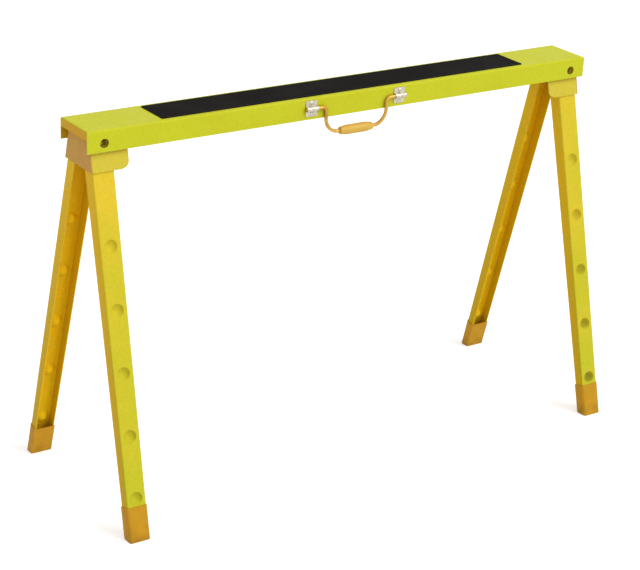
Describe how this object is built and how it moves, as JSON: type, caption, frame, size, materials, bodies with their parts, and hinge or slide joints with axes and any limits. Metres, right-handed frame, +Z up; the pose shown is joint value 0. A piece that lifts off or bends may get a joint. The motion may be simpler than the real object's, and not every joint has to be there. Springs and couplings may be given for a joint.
{
  "type": "builders trestle",
  "caption": "Folding builder's trestle: pressed steel beam with an anti-slip strip on splayed channel legs that fold up under it, with plastic foot shoes and a carrying handle.",
  "frame": {"origin": "on the floor, under the middle of the beam", "axes": "+X along the beam, -Y to the side with the handle, +Z up"},
  "size_m": [1, 0.3756, 0.6485],
  "materials": {
    "beam_paint": "semi-gloss greenish yellow enamel on pressed steel",
    "leg_paint": "semi-gloss yellow enamel on folded steel",
    "strip_rubber": "fine-grained matt black",
    "shoe_plastic": "moulded ochre plastic",
    "zinc_plate": "bright zinc plate",
    "friction_plastic": "dark fibre-filled plastic",
    "handle_paint": "gold passivated wire",
    "grip_plastic": "moulded amber plastic"
  },
  "bodies": {
    "frame": {"beam": "beam_paint", "anti_slip_strip": "strip_rubber", "left_leg_bracket": "beam_paint", "right_leg_bracket": "beam_paint", "front_left_pivot_bolt": "zinc_plate", "rear_left_pivot_bolt": "zinc_plate", "front_right_pivot_bolt": "zinc_plate", "rear_right_pivot_bolt": "zinc_plate", "pivot_lock_nuts": "zinc_plate", "pivot_washers": "zinc_plate", "pivot_friction_washers": "friction_plastic", "left_handle_clip": "zinc_plate", "right_handle_clip": "zinc_plate", "handle_clip_rivets": "zinc_plate"},
    "front_left_leg": {"front_left_leg": "leg_paint", "front_left_foot_shoe": "shoe_plastic"},
    "rear_left_leg": {"rear_left_leg": "leg_paint", "rear_left_foot_shoe": "shoe_plastic"},
    "front_right_leg": {"front_right_leg": "leg_paint", "front_right_foot_shoe": "shoe_plastic"},
    "rear_right_leg": {"rear_right_leg": "leg_paint", "rear_right_foot_shoe": "shoe_plastic"},
    "handle": {"handle_bail": "handle_paint", "handle_grip": "grip_plastic"}
  },
  "joints": [
    {"name": "front_left_leg_fold", "type": "hinge", "parent": "frame", "child": "front_left_leg", "pos_m": [-0.46988, -0.03143, 0.62198], "axis": [0, -0.9703, 0.2419], "range_deg": [0, 90.75]},
    {"name": "rear_left_leg_fold", "type": "hinge", "parent": "frame", "child": "rear_left_leg", "pos_m": [-0.46988, 0.03143, 0.62198], "axis": [0, -0.9703, -0.2419], "range_deg": [0, 90.75]},
    {"name": "front_right_leg_fold", "type": "hinge", "parent": "frame", "child": "front_right_leg", "pos_m": [0.46988, -0.03143, 0.62198], "axis": [0, 0.9703, -0.2419], "range_deg": [0, 83]},
    {"name": "rear_right_leg_fold", "type": "hinge", "parent": "frame", "child": "rear_right_leg", "pos_m": [0.46988, 0.03143, 0.62198], "axis": [0, 0.9703, 0.2419], "range_deg": [0, 83]},
    {"name": "handle_swing", "type": "hinge", "parent": "frame", "child": "handle", "pos_m": [0, -0.0483, 0.63], "axis": [-1, 0, 0], "range_deg": [-2, 182]}
  ]
}
